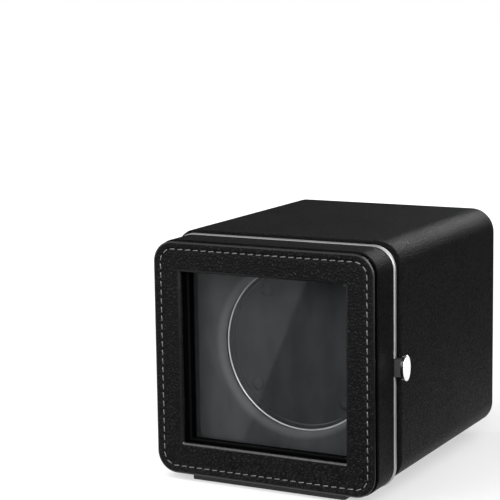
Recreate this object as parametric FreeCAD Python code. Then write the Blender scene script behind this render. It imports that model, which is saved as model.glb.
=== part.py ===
import FreeCAD, Part
import collections
import math
import os

# Watch winder box, millimetres: +X right, +Y back, +Z up, origin on the table under the middle.
# The door closes the front, hinged on the left, with a push button on the right.

# Case: a board sleeve wrapped in leather, standing on a low plinth
case_width = 134.0
case_height = 128.0
case_depth = 136.4
case_corner = 13.3
case_leather_thickness = 1.0
case_wall = 4.0
case_edge_round = 0.7
plinth_height = 5.0
plinth_width = 91.0
plinth_setback = 4.3
plinth_back_setback = 8.0
plinth_edge_round = 1.6
plinth_screw_seat = 2.5
plinth_screw_bite = 2.0

# Door: a board tray as tall as the case, faced and banded with leather, with a metal rim at its back
door_side_inset = 2.0
door_corner = 12.0
door_drop = 2.0
door_body_depth = 23.6
door_leather_thickness = 1.0
front_leather_thickness = 2.2
front_leather_round = 0.9
front_groove = 2.0
door_wall = 5.0
door_face_depth = 14.3
rim_thickness = 2.6
rim_width = 5.0
rim_round = 0.8
rim_proud = 0.5
band_groove = 0.8
mouth_gap = 2.4

# Window in the door, between its stiles at the sides and its rails above and below
stile_width = 16.7
rail_width = 17.2
window_raise = 0.5
pane_depth = 8.0
pane_thickness = 2.0
pane_lap = 3.0
pane_clearance = 0.2

# Neck that lines the case mouth, and the panel behind it
neck_wall = 1.5
neck_reach = 11.4
neck_inset = 3.5
closing_gap = 0.4
seat_clearance = 0.1
panel_thickness = 7.0
panel_hole_margin = 2.0
panel_hole_round = 5.0

# Rotating cup: a shallow dish with a ring round its mouth and low domes that hold a cushion
cup_drop = 1.0
cup_radius = 46.0
cup_wall = 1.4
cup_recess = 9.4
cup_depth = 3.4
cup_floor = 2.4
cup_ring_height = 1.8
cup_ring_lip = 0.6
cup_ring_round = 0.7
lining_thickness = 0.8
bump_radius = 4.0
bump_height = 2.4
bump_inset = 7.9
bump_turn = 38.5
bump_count = 4
hub_radius = 11.0
hub_length = 5.6

# Spindle and its bush
spindle_radius = 3.0
running_clearance = 0.05
fixed_clearance = 0.02
bush_wall = 2.0
bush_flange_radius = 7.0
bush_flange_thickness = 1.0
bush_length = 14.0
washer_thickness = 0.8
washer_radius = 5.2
axial_play = 0.3
clip_thickness = 0.8
clip_groove = 0.6
clip_radius = 5.0
spindle_tail = 2.6

# Gear pair
gear_module = 1.5
cup_gear_teeth = 36
pinion_teeth = 12
gear_thickness = 6.0
gear_addendum = 0.8
gear_dedendum = 1.25
pressure_angle = 20.0
tooth_backlash = 0.3
flank_steps = 4
motor_direction = -90.0

# Gear motor
motor_shaft_radius = 2.0
motor_nose_radius = 3.5
gearbox_radius = 12.5
gearbox_length = 14.0
can_radius = 12.0
can_length = 14.0
motor_screw_spread = 8.5

# Drive plate on four pillars
plate_thickness = 3.0
plate_inset = 4.0
plate_corner = 6.0
boss_wall = 3.0
pillar_radius = 4.0
pillar_inset = 9.0

# Back board with its blocks, recessed in the sleeve
back_recess = 9.0
back_thickness = 4.5
back_clearance = 0.3
block_size = 14.0
block_length = 14.5

# Control board
board_width = 56.0
board_height = 34.0
board_thickness = 1.6
board_raise = 26.0
board_gap = 8.9
standoff_radius = 2.5
standoff_inset = 4.0
chip_size = 10.0
chip_height = 2.0
capacitor_radius = 4.0
capacitor_length = 8.0
plug_width = 12.0
plug_depth = 6.0
plug_height = 5.0

# Power inlet
jack_offset = 28.0
jack_radius = 5.5
jack_flange_radius = 7.5
jack_flange_thickness = 2.0
jack_length = 15.0
jack_bore_radius = 2.8
jack_bore_depth = 11.0
jack_pin_radius = 1.0
jack_pin_setback = 1.0
nut_width = 14.0
nut_thickness = 2.5
hole_clearance = 0.1

# Mode switch
switch_size = 14.0
switch_depth = 9.0
switch_neck_radius = 3.5
switch_shaft_radius = 2.0
switch_nut_width = 9.0
switch_nut_thickness = 2.0
knob_radius = 8.0
knob_height = 7.0
knob_gap = 1.0
knob_wall = 1.6
knob_recess = 2.2
knob_ribs = 18
knob_rib_radius = 0.7
pointer_width = 1.2
pointer_depth = 0.6

# Hinge
hinge_length = 92.0
hinge_knuckles = 5
hinge_knuckle_gap = 0.25
hinge_leaf = 0.6
hinge_stand_off = 3.6
hinge_pin_radius = 0.5
hinge_pin_head = 0.6
hinge_clear = 0.3
hinge_screw_cover = 0.15
hinge_screw_margin = 0.1

# Push button latch
latch_raise = 1.0
stem_height = 9.4
stem_depth = 4.2
stem_reach = 4.2
stem_clearance = 0.3
stem_notch_clearance = 0.4
button_width = 8.6
button_height = 13.8
button_thickness = 2.4
button_round = 0.8
hook_thickness = 2.0
hook_length = 5.3
hook_barb = 0.3
hook_barb_length = 1.8
hook_clearance = 0.5
keeper_thickness = 0.7
keeper_height = 16.0
keeper_gap = 0.6
keeper_width = 2.5
bracket_wall = 1.2
bracket_height = 18.0
bracket_screw_spread = 6.0
spring_radius = 2.0
spring_wire = 0.25
spring_length = 5.0
spring_turns = 5

# Screws: radius of the shank and of the head, height of the head, length under the head
Screw = collections.namedtuple("Screw", "shank head height length")
small_screw = Screw(shank=0.7, head=1.2, height=0.45, length=6.0)
board_screw = Screw(shank=1.2, head=2.4, height=1.4, length=9.0)
machine_screw = Screw(shank=1.25, head=2.2, height=1.4, length=8.0)
gear_screw = Screw(shank=0.9, head=1.7, height=1.0, length=6.0)
gear_screw_circle = 7.6
gear_screw_count = 3
hinge_screw_count = 3

# Places that follow from the sizes, from front to back and from the table up
door_front = -(door_body_depth + rim_thickness + mouth_gap + case_depth) / 2
frame_front = door_front + front_leather_thickness
band_front = frame_front + front_groove
face_back = door_front + door_face_depth
rim_front = door_front + door_body_depth
rim_back = rim_front + rim_thickness
case_front = rim_back + mouth_gap
case_back = case_front + case_depth
neck_front = rim_back + closing_gap
panel_front = case_front + neck_reach
panel_back = panel_front + panel_thickness
cup_front = panel_front + cup_recess
cup_back = cup_front + cup_depth + cup_floor
hub_back = cup_back + hub_length
gear_front = hub_back
gear_back = gear_front + gear_thickness
washer_front = gear_back + gear_screw.height + axial_play
washer_back = washer_front + washer_thickness
bush_front = washer_back + axial_play
plate_front = bush_front + bush_flange_thickness
plate_back = plate_front + plate_thickness
bush_back = plate_front + bush_length
clip_front = bush_back + axial_play
spindle_back = clip_front + clip_thickness + spindle_tail
back_outer = case_back - back_recess
back_inner = back_outer - back_thickness
board_back = back_inner - board_gap
board_front = board_back - board_thickness
switch_neck_back = back_outer + switch_nut_thickness
switch_bore_front = back_inner - switch_depth / 2

door_width = case_width - 2 * door_side_inset
door_height = case_height
window_width = door_width - 2 * stile_width
window_height = door_height - 2 * rail_width
case_mid = plinth_height + case_height / 2
door_mid = plinth_height - door_drop + door_height / 2
window_mid = door_mid + window_raise
cup_mid = case_mid - cup_drop
board_mid = case_mid + board_raise
latch_mid = door_mid + latch_raise
door_bottom = door_mid - door_height / 2

# Outlines seen from the front: half width, half height, corner radius, height of the middle
case_outline = (case_width / 2, case_height / 2, case_corner, case_mid)
door_outline = (door_width / 2, door_height / 2, door_corner, door_mid)
window_outline = (window_width / 2, window_height / 2, 0, window_mid)
case_lining_inset = case_leather_thickness + case_wall
neck_inner = case_width / 2 - case_lining_inset - neck_wall
panel_hole_radius = cup_radius + panel_hole_margin
bump_circle = cup_radius - bump_inset

gear_distance = gear_module * (cup_gear_teeth + pinion_teeth) / 2
motor_x = gear_distance * math.cos(math.radians(motor_direction))
motor_z = cup_mid + gear_distance * math.sin(math.radians(motor_direction))
hinge_x = -door_width / 2 - hinge_stand_off
hinge_radius = mouth_gap / 2
hinge_y = rim_back + hinge_radius
hinge_bottom = door_mid - hinge_length / 2
hinge_hole_radius = small_screw.shank + running_clearance
hinge_screw_x = door_leather_thickness + hinge_screw_cover + hinge_hole_radius - door_width / 2
hinge_leaf_end = hinge_screw_x + small_screw.head + hinge_screw_margin
stem_front = rim_front + stem_clearance
stem_back = stem_front + stem_depth
stem_outer = door_width / 2 + stem_reach
stem_inner = neck_inner - keeper_thickness - hook_clearance - hook_barb - hook_thickness
bracket_inner = stem_inner - spring_length - bracket_wall
bracket_outer = door_width / 2 - door_wall
bracket_screw_x = (window_width / 2 + pane_lap + bracket_outer) / 2
back_block_x = case_width / 2 - case_lining_inset - block_size / 2
back_block_z = case_height / 2 - case_lining_inset - block_size / 2
pillar_x = case_width / 2 - case_lining_inset - pillar_inset
pillar_z = case_height / 2 - case_lining_inset - pillar_inset
jack_z = case_mid - jack_offset

# How far a cut passes its piece, how near counts as the same place, how straight as along an axis
overshoot = 1.0
tolerance = 1e-4
aligned = 0.5


def point(x, y, z):
    return FreeCAD.Vector(x, y, z)


def block(x_range, y_range, z_range):
    """Box between two places on each axis."""
    size = [high - low for low, high in (x_range, y_range, z_range)]
    return Part.makeBox(*size, point(x_range[0], y_range[0], z_range[0]))


def around(middle, length):
    return (middle - length / 2, middle + length / 2)


def slab(outline, inset, y_start, y_end):
    """Rounded rectangle set in from an outline, from one depth to another."""
    half_width, half_height, corner, middle = outline
    half_width -= inset
    half_height -= inset
    solid = block((-half_width, half_width), (y_start, y_end), (middle - half_height, middle + half_height))
    if corner > inset:
        along = [edge for edge in solid.Edges if abs(edge.tangentAt(edge.FirstParameter).y) > aligned]
        solid = solid.makeFillet(corner - inset, along)
    return solid


def rod(x, z, radius, y_start, y_end):
    """Round bar running from front to back."""
    return Part.makeCylinder(radius, y_end - y_start, point(x, y_start, z), point(0, 1, 0))


def tube(x, z, outer, inner, y_start, y_end):
    return rod(x, z, outer, y_start, y_end).cut(rod(x, z, inner, y_start - overshoot, y_end + overshoot))


def rounded_at(solid, y, radius):
    """Round the edges that lie at one depth."""
    flat = [edge for edge in solid.Edges if edge.BoundBox.YLength < tolerance
            and abs(edge.BoundBox.YMin - y) < tolerance]
    return solid.makeFillet(radius, flat)


def corners(half_x, half_z, middle):
    """Four places, one in each corner about a middle height."""
    return [(x, middle + z) for x in (-half_x, half_x) for z in (-half_z, half_z)]


def on_circle(count, radius, middle, first=0.0):
    turns = [math.radians(first + 360.0 * index / count) for index in range(count)]
    return [(radius * math.cos(turn), middle + radius * math.sin(turn)) for turn in turns]


def screw(place, seat, kind, into):
    """Cylinder head screw on a seat at one depth; into is +1 towards the back, -1 towards the front."""
    x, z = place
    head_span = sorted((seat, seat - into * kind.height))
    shank_span = sorted((seat, seat + into * kind.length))
    return rod(x, z, kind.head, *head_span).fuse(rod(x, z, kind.shank, *shank_span)).removeSplitter()


def screw_hole(place, seat, kind, into):
    """Hole for such a screw, with a little room."""
    x, z = place
    span = sorted((seat - into * overshoot, seat + into * (kind.length + running_clearance)))
    return rod(x, z, kind.shank + running_clearance, *span)


def drilled(solid, places, seat, kind, into):
    for place in places:
        solid = solid.cut(screw_hole(place, seat, kind, into))
    return solid


# Case
def make_case_shell():
    front = case_front + case_leather_thickness
    back = case_back - case_leather_thickness
    shell = slab(case_outline, case_leather_thickness, front, back)
    shell = shell.cut(slab(case_outline, case_lining_inset, front - overshoot, back + overshoot))
    shell = drilled(shell, hinge_screw_places(), case_front, small_screw, 1)
    return drilled_up(shell)


def make_case_leather():
    """Sleeve over the shell, turned in over both of its ends."""
    skin = slab(case_outline, 0, case_front, case_back)
    skin = rounded_at(skin, case_front, case_edge_round)
    skin = rounded_at(skin, case_back, case_edge_round)
    board = slab(case_outline, case_leather_thickness, case_front + case_leather_thickness,
                 case_back - case_leather_thickness)
    hollow = slab(case_outline, case_lining_inset, case_front - overshoot, case_back + overshoot)
    skin = skin.cut(board).cut(hollow)
    skin = drilled(skin, hinge_screw_places(), case_front, small_screw, 1)
    return drilled_up(skin)


def plinth_screw_places():
    middle = (case_front + case_back) / 2
    reach = case_depth / 2 - plinth_back_setback - block_size
    side = plinth_width / 2 - block_size
    return [(x, middle + y) for x in (-side, side) for y in (-reach, reach)]


def upright(x, y, radius, bottom, top):
    """Round bar standing up."""
    return Part.makeCylinder(radius, top - bottom, point(x, y, bottom))


def plinth_screw_top():
    return plinth_height + case_leather_thickness + plinth_screw_bite


def upright_screw(place):
    head = upright(*place, board_screw.head, plinth_screw_seat - board_screw.height, plinth_screw_seat)
    shank = upright(*place, board_screw.shank, plinth_screw_seat, plinth_screw_top())
    return head.fuse(shank).removeSplitter()


def drilled_up(solid):
    """Holes for the plinth's screws, with their counterbores."""
    shank_room = board_screw.shank + running_clearance
    head_room = board_screw.head + running_clearance
    for place in plinth_screw_places():
        solid = solid.cut(upright(*place, shank_room, -overshoot, plinth_screw_top() + running_clearance))
        solid = solid.cut(upright(*place, head_room, -overshoot, plinth_screw_seat))
    return solid


def make_plinth():
    """Low board under the case, with a thinner tongue under the door."""
    side = (-plinth_width / 2, plinth_width / 2)
    tongue_top = door_bottom - rim_proud - closing_gap
    back = block(side, (case_front, case_back - plinth_back_setback), (0, plinth_height))
    tongue = block(side, (door_front + plinth_setback, case_front), (0, tongue_top))
    board = back.fuse(tongue).removeSplitter()
    standing = [edge for edge in board.Edges if abs(edge.tangentAt(edge.FirstParameter).z) > aligned
                and edge.BoundBox.ZMin < tolerance]
    return drilled_up(board.makeFillet(plinth_edge_round, standing))


# Neck in the case mouth
def make_neck():
    inner = case_lining_inset + neck_wall
    flange = slab(case_outline, neck_inset, neck_front, case_front)
    spigot = slab(case_outline, case_lining_inset + seat_clearance, case_front, panel_front)
    neck = flange.fuse(spigot).removeSplitter()
    neck = neck.cut(slab(case_outline, inner, neck_front - overshoot, panel_front + overshoot))
    mouth = neck_front - overshoot
    hinge_notch = block((-case_width / 2, hinge_leaf_end + hinge_clear), (mouth, case_front),
                        around(door_mid, hinge_length + 2 * hinge_clear))
    stem_notch = block((stem_inner, case_width / 2), (mouth, stem_back + stem_notch_clearance),
                       around(latch_mid, stem_height + 2 * stem_notch_clearance))
    return neck.cut(hinge_notch).cut(stem_notch)


def make_panel():
    """Board behind the neck, with the round hole that the cup looks out of."""
    board = slab(case_outline, case_lining_inset + seat_clearance, panel_front, panel_back)
    board = board.cut(rod(0, cup_mid, panel_hole_radius, panel_front - overshoot, panel_back + overshoot))
    rim = [edge for edge in board.Edges if edge.Curve.TypeId == "Part::GeomCircle"
           and abs(edge.Curve.Radius - panel_hole_radius) < tolerance
           and abs(edge.BoundBox.YMax - panel_front) < tolerance]
    return board.makeFillet(panel_hole_round, rim)


# Door
def make_door_frame():
    frame = slab(door_outline, door_leather_thickness, frame_front, rim_front)
    frame = frame.cut(slab(door_outline, door_wall, face_back, rim_front + overshoot))
    frame = frame.cut(slab(window_outline, 0, frame_front - overshoot, face_back + overshoot))
    frame = frame.cut(slab(window_outline, -pane_lap, door_front + pane_depth, face_back + overshoot))
    frame = drilled(frame, hinge_screw_places(), rim_back, small_screw, -1)
    return drilled(frame, bracket_screw_places(), face_back, small_screw, -1)


def make_front_leather():
    skin = rounded_at(slab(door_outline, 0, door_front, frame_front), door_front, front_leather_round)
    skin = skin.cut(slab(window_outline, 0, door_front - overshoot, frame_front + overshoot))
    half_width, half_height, corner, middle = window_outline
    inner = [edge for edge in skin.Edges if edge.BoundBox.YMax - door_front < tolerance
             and abs(edge.BoundBox.Center.x) < half_width + tolerance
             and abs(edge.BoundBox.Center.z - middle) < half_height + tolerance]
    return skin.makeFillet(front_leather_round, inner)


def make_side_leather():
    band = slab(door_outline, 0, band_front, rim_front - band_groove)
    return band.cut(slab(door_outline, door_leather_thickness, band_front - overshoot, rim_front + overshoot))


def make_rim():
    """Metal ring on the back of the door, a little proud of it and slotted for the button's stem."""
    ring = slab(door_outline, -rim_proud, rim_front, rim_back)
    ring = rounded_at(rounded_at(ring, rim_front, rim_round), rim_back, rim_round)
    ring = ring.cut(slab(door_outline, rim_width, rim_front - overshoot, rim_back + overshoot))
    slot = block((stem_inner, door_width / 2 + overshoot), (rim_front - overshoot, rim_back + overshoot),
                 around(latch_mid, stem_height + 2 * stem_clearance))
    return drilled(ring.cut(slot), hinge_screw_places(), rim_back, small_screw, -1)


def make_pane():
    front = door_front + pane_depth
    return slab(window_outline, pane_clearance - pane_lap, front, front + pane_thickness)


def make_retainer():
    front = door_front + pane_depth + pane_thickness
    ring = slab(window_outline, pane_clearance - pane_lap, front, face_back)
    return ring.cut(slab(window_outline, 0, front - overshoot, face_back + overshoot))


# Hinge
def hinge_screw_places():
    pitch = hinge_length / hinge_screw_count
    return [(hinge_screw_x, hinge_bottom + pitch * (index + 0.5)) for index in range(hinge_screw_count)]


def knuckle_span(index):
    pitch = hinge_length / hinge_knuckles
    bottom = hinge_bottom + pitch * index
    return (bottom + hinge_knuckle_gap / 2, bottom + pitch - hinge_knuckle_gap / 2)


def barrel(radius, span):
    return Part.makeCylinder(radius, span[1] - span[0], point(hinge_x, hinge_y, span[0]))


def make_leaf(y_range, first, seat, into):
    """Hinge leaf with every second knuckle, starting from the one given."""
    own = range(first, hinge_knuckles, 2)
    leaf = block((hinge_x, hinge_leaf_end), y_range, (hinge_bottom, hinge_bottom + hinge_length))
    for index in range(hinge_knuckles):
        bottom, top = knuckle_span(index)
        if index in own:
            leaf = leaf.fuse(barrel(hinge_radius, (bottom, top)))
        else:
            room = (bottom - hinge_knuckle_gap, top + hinge_knuckle_gap)
            leaf = leaf.cut(barrel(hinge_radius + hinge_clear, room))
    whole = (hinge_bottom - overshoot, hinge_bottom + hinge_length + overshoot)
    leaf = leaf.cut(barrel(hinge_pin_radius + running_clearance, whole)).removeSplitter()
    return drilled(leaf, hinge_screw_places(), seat, small_screw, into)


def make_hinge_pin():
    top = hinge_bottom + hinge_length
    pin = barrel(hinge_pin_radius, (hinge_bottom - hinge_pin_head, top + hinge_pin_head))
    for span in ((hinge_bottom - hinge_pin_head, hinge_bottom), (top, top + hinge_pin_head)):
        pin = pin.fuse(barrel((hinge_pin_radius + hinge_radius) / 2, span))
    return pin.removeSplitter()


# Latch
def make_stem():
    """Stem of the button with a hook that reaches back past the keeper."""
    height = around(latch_mid, stem_height)
    stem = block((stem_inner, stem_outer), (stem_front, stem_back), height)
    arm = block((stem_inner, stem_inner + hook_thickness), (stem_back, stem_back + hook_length), height)
    barb = block((stem_inner, stem_inner + hook_thickness + hook_barb),
                 (stem_back + hook_length - hook_barb_length, stem_back + hook_length), height)
    return stem.fuse(arm).fuse(barb).removeSplitter()


def make_button():
    """Oval head on the end of the stem."""
    middle = point(stem_outer, (stem_front + stem_back) / 2, latch_mid)
    oval = Part.Ellipse(FreeCAD.Vector(0, 0, 0), button_height / 2, button_width / 2)
    face = Part.Face(Part.Wire(oval.toShape()))
    upright_oval = FreeCAD.Rotation(point(0, 0, 1), point(0, 1, 0), point(1, 0, 0))
    face.Placement = FreeCAD.Placement(middle, upright_oval)
    head = face.extrude(point(button_thickness, 0, 0))
    outer = [edge for edge in head.Edges if edge.BoundBox.XMin > stem_outer + button_thickness / 2]
    return head.makeFillet(button_round, outer)


def make_keeper():
    front = stem_back + keeper_gap
    return block((neck_inner - keeper_thickness, neck_inner), (front, front + keeper_width),
                 around(latch_mid, keeper_height))


def bracket_screw_places():
    return [(bracket_screw_x, latch_mid + side * bracket_screw_spread) for side in (-1, 1)]


def make_bracket():
    """Channel inside the door that backs up the latch spring."""
    height = around(latch_mid, bracket_height)
    web = block((bracket_inner, bracket_outer), (face_back, face_back + bracket_wall), height)
    spring_leg = block((bracket_inner, bracket_inner + bracket_wall), (face_back, stem_back), height)
    wall_leg = block((bracket_outer - bracket_wall, bracket_outer), (face_back, rim_front), height)
    bracket = web.fuse(spring_leg).fuse(wall_leg).removeSplitter()
    return drilled(bracket, bracket_screw_places(), face_back + bracket_wall, small_screw, -1)


def make_spring():
    """Coil between the channel and the stem."""
    height = spring_length - 2 * spring_wire
    path = Part.makeHelix(height / spring_turns, height, spring_radius)
    section = Part.makeCircle(spring_wire, point(spring_radius, 0, 0), point(0, 1, 0))
    coil = Part.Wire(path.Edges).makePipeShell([Part.Wire(section)], True, True)
    start = point(stem_inner - spring_length + spring_wire, (stem_front + stem_back) / 2, latch_mid)
    coil.Placement = FreeCAD.Placement(start, FreeCAD.Rotation(point(0, 1, 0), 90))
    return coil


# Cup
def make_cup():
    cup = rod(0, cup_mid, cup_radius, cup_front, cup_back)
    cup = cup.cut(rod(0, cup_mid, cup_radius - cup_wall, cup_front - overshoot, cup_back - cup_floor))
    cup = cup.fuse(rod(0, cup_mid, hub_radius, cup_back, hub_back)).removeSplitter()
    cup = cup.cut(rod(0, cup_mid, spindle_radius + fixed_clearance, cup_back, hub_back + overshoot))
    return drilled(cup, gear_screw_places(), gear_back, gear_screw, -1)


def make_cup_ring():
    inner = cup_radius - cup_wall - lining_thickness
    ring = tube(0, cup_mid, cup_radius + cup_ring_lip, inner, cup_front - cup_ring_height, cup_front)
    return rounded_at(ring, cup_front - cup_ring_height, cup_ring_round)


def make_lining():
    outer = cup_radius - cup_wall - fixed_clearance
    floor = cup_back - cup_floor
    lining = rod(0, cup_mid, outer, cup_front, floor)
    inner = outer - lining_thickness
    return lining.cut(rod(0, cup_mid, inner, cup_front - overshoot, floor - lining_thickness))


def make_bumps():
    """Low domes on the cup floor."""
    floor = cup_back - cup_floor - lining_thickness
    sphere_radius = (bump_radius ** 2 + bump_height ** 2) / (2 * bump_height)
    domes = []
    for x, z in on_circle(bump_count, bump_circle, cup_mid, bump_turn):
        ball = Part.makeSphere(sphere_radius, point(x, floor + sphere_radius - bump_height, z))
        domes.append(ball.common(rod(x, z, 2 * bump_radius, floor - bump_height, floor)))
    return Part.Compound(domes)


# Spindle, gears and motor
def make_spindle():
    spindle = rod(0, cup_mid, spindle_radius, cup_back, spindle_back)
    groove = tube(0, cup_mid, spindle_radius + overshoot, spindle_radius - clip_groove, clip_front,
                  clip_front + clip_thickness)
    return spindle.cut(groove)


def make_clip():
    """Snap ring in the spindle's groove, open on one side."""
    inner = spindle_radius - clip_groove + fixed_clearance
    clip_back = clip_front + clip_thickness
    ring = tube(0, cup_mid, clip_radius, inner, clip_front + fixed_clearance, clip_back - fixed_clearance)
    return ring.cut(block((-inner, inner), (clip_front, clip_back), (cup_mid - clip_radius, cup_mid)))


def make_washer():
    return tube(0, cup_mid, washer_radius, spindle_radius + running_clearance, washer_front, washer_back)


def involute(angle):
    return math.tan(angle) - angle


def gear(x, z, teeth, bore, turn):
    """Spur gear with involute flanks; turn is the direction of a tooth's middle."""
    pressure = math.radians(pressure_angle)
    pitch_radius = gear_module * teeth / 2
    base = pitch_radius * math.cos(pressure)
    tip = pitch_radius + gear_addendum * gear_module
    root = pitch_radius - gear_dedendum * gear_module
    half_tooth = math.pi / (2 * teeth) - tooth_backlash / (4 * pitch_radius) + involute(pressure)
    start = max(base, root)
    radii = [start + (tip - start) * step / flank_steps for step in range(flank_steps + 1)]
    flank = [(root, half_tooth)] + [(r, half_tooth - involute(math.acos(base / r))) for r in radii]
    outline = []
    for index in range(teeth):
        middle = math.radians(turn) + 2 * math.pi * index / teeth
        side = [(r, middle - half) for r, half in flank] + [(r, middle + half) for r, half in reversed(flank)]
        outline += [point(x + r * math.cos(a), gear_front, z + r * math.sin(a)) for r, a in side]
    face = Part.Face(Part.makePolygon(outline + outline[:1]))
    blank = face.extrude(point(0, gear_thickness, 0))
    return blank.cut(rod(x, z, bore, gear_front - overshoot, gear_back + overshoot))


def gear_screw_places():
    return on_circle(gear_screw_count, gear_screw_circle, cup_mid)


def make_cup_gear():
    wheel = gear(0, cup_mid, cup_gear_teeth, spindle_radius + fixed_clearance, motor_direction)
    return drilled(wheel, gear_screw_places(), gear_back, gear_screw, -1)


def make_pinion():
    space = motor_direction + 180.0 + 180.0 / pinion_teeth
    return gear(motor_x, motor_z, pinion_teeth, motor_shaft_radius + fixed_clearance, space)


def motor_screw_places():
    turn = math.radians(motor_direction + 90.0)
    step = (motor_screw_spread * math.cos(turn), motor_screw_spread * math.sin(turn))
    return [(motor_x + side * step[0], motor_z + side * step[1]) for side in (-1, 1)]


def make_gear_motor():
    body = rod(motor_x, motor_z, motor_nose_radius, plate_front, plate_back)
    body = body.fuse(rod(motor_x, motor_z, gearbox_radius, plate_back, plate_back + gearbox_length))
    can_front = plate_back + gearbox_length
    body = body.fuse(rod(motor_x, motor_z, can_radius, can_front, can_front + can_length)).removeSplitter()
    bore = rod(motor_x, motor_z, motor_shaft_radius + running_clearance, plate_front - overshoot,
               plate_back + gearbox_length / 2)
    return drilled(body.cut(bore), motor_screw_places(), plate_front, machine_screw, 1)


def make_motor_shaft():
    end = plate_back + gearbox_length / 2 - running_clearance
    return rod(motor_x, motor_z, motor_shaft_radius, gear_front, end)


def make_bush():
    bore = spindle_radius + running_clearance
    bush = rod(0, cup_mid, bush_flange_radius, bush_front, plate_front)
    bush = bush.fuse(rod(0, cup_mid, bore + bush_wall, plate_front, bush_back)).removeSplitter()
    return bush.cut(rod(0, cup_mid, bore, bush_front - overshoot, bush_back + overshoot))


def make_plate():
    half_width, half_height, corner, middle = case_outline
    inset = case_lining_inset + plate_inset
    outline = (half_width - inset, half_height - inset, plate_corner, middle)
    bore = spindle_radius + running_clearance + bush_wall + fixed_clearance
    plate = slab(outline, 0, plate_front, plate_back)
    plate = plate.fuse(rod(0, cup_mid, bore + boss_wall, plate_back, bush_back)).removeSplitter()
    plate = plate.cut(rod(0, cup_mid, bore, plate_front - overshoot, bush_back + overshoot))
    through = (plate_front - overshoot, plate_back + overshoot)
    nose = rod(motor_x, motor_z, motor_nose_radius + hole_clearance, *through)
    plate = drilled(plate.cut(nose), motor_screw_places(), plate_front, machine_screw, 1)
    return drilled(plate, pillar_places(), plate_back, machine_screw, -1)


def pillar_places():
    return corners(pillar_x, pillar_z, case_mid)


def make_pillars():
    bars = [rod(x, z, pillar_radius, panel_back, plate_front) for x, z in pillar_places()]
    return Part.Compound([drilled(bar, pillar_places(), plate_back, machine_screw, -1) for bar in bars])


# Back of the case
def back_screw_places():
    return corners(back_block_x, back_block_z, case_mid)


def make_back_blocks():
    front = back_inner - block_length
    inside = slab(case_outline, case_lining_inset, front, back_inner)
    blocks = []
    for x, z in back_screw_places():
        piece = block(around(x, block_size), (front, back_inner), around(z, block_size)).common(inside)
        blocks.append(drilled(piece, [(x, z)], back_outer, board_screw, -1))
    return Part.Compound(blocks)


def make_back_board():
    board = slab(case_outline, case_lining_inset + back_clearance, back_inner, back_outer)
    board = drilled(board, back_screw_places(), back_outer, board_screw, -1)
    through = (back_inner - overshoot, back_outer + overshoot)
    jack_hole = rod(-jack_offset, jack_z, jack_radius + hole_clearance, *through)
    neck_hole = rod(jack_offset, jack_z, switch_neck_radius + hole_clearance, *through)
    return board.cut(jack_hole).cut(neck_hole)


def board_screw_places():
    return corners(board_width / 2 - standoff_inset, board_height / 2 - standoff_inset, board_mid)


def make_control_board():
    board = block(around(0, board_width), (board_front, board_back), around(board_mid, board_height))
    return drilled(board, board_screw_places(), board_front, gear_screw, 1)


def make_standoffs():
    posts = [rod(x, z, standoff_radius, board_back, back_inner) for x, z in board_screw_places()]
    return Part.Compound([drilled(post, board_screw_places(), board_front, gear_screw, 1) for post in posts])


def make_board_components():
    """Chip, capacitor and lead socket on the control board."""
    quarter = board_width / 4
    chip = block(around(0, chip_size), (board_front - chip_height, board_front), around(board_mid, chip_size))
    capacitor = rod(quarter, board_mid, capacitor_radius, board_front - capacitor_length, board_front)
    socket_span = (board_front - plug_depth, board_front)
    socket = block(around(-quarter, plug_width), socket_span, around(board_mid, plug_height))
    return Part.Compound([chip, capacitor, socket])


def hexagon(x, z, width, y_start, y_end):
    sides = 6
    reach = width / (2 * math.cos(math.pi / sides))
    ring = [point(x + px, y_start, z + pz) for px, pz in on_circle(sides, reach, 0)]
    return Part.Face(Part.makePolygon(ring + ring[:1])).extrude(point(0, y_end - y_start, 0))


def make_jack():
    flange_back = back_outer + jack_flange_thickness
    body = rod(-jack_offset, jack_z, jack_radius, back_outer - jack_length, back_outer)
    body = body.fuse(rod(-jack_offset, jack_z, jack_flange_radius, back_outer, flange_back)).removeSplitter()
    bottom = flange_back - jack_bore_depth
    body = body.cut(rod(-jack_offset, jack_z, jack_bore_radius, bottom, flange_back + overshoot))
    pin = rod(-jack_offset, jack_z, jack_pin_radius, bottom, flange_back - jack_pin_setback)
    return body.fuse(pin).removeSplitter()


def make_jack_nut():
    nut_front = back_inner - nut_thickness
    nut = hexagon(-jack_offset, jack_z, nut_width, nut_front, back_inner)
    bore = jack_radius + running_clearance
    return nut.cut(rod(-jack_offset, jack_z, bore, nut_front - overshoot, back_inner + overshoot))


def make_switch():
    """Rotary switch behind the back board, with a threaded neck through it."""
    box_span = (back_inner - switch_depth, back_inner)
    body = block(around(jack_offset, switch_size), box_span, around(jack_z, switch_size))
    neck = rod(jack_offset, jack_z, switch_neck_radius, back_inner, switch_neck_back)
    bore = switch_shaft_radius + running_clearance
    hole = rod(jack_offset, jack_z, bore, switch_bore_front, switch_neck_back + overshoot)
    return body.fuse(neck).removeSplitter().cut(hole)


def make_switch_nut():
    nut = hexagon(jack_offset, jack_z, switch_nut_width, back_outer, switch_neck_back)
    bore = switch_neck_radius + running_clearance
    return nut.cut(rod(jack_offset, jack_z, bore, back_outer - overshoot, switch_neck_back + overshoot))


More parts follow.
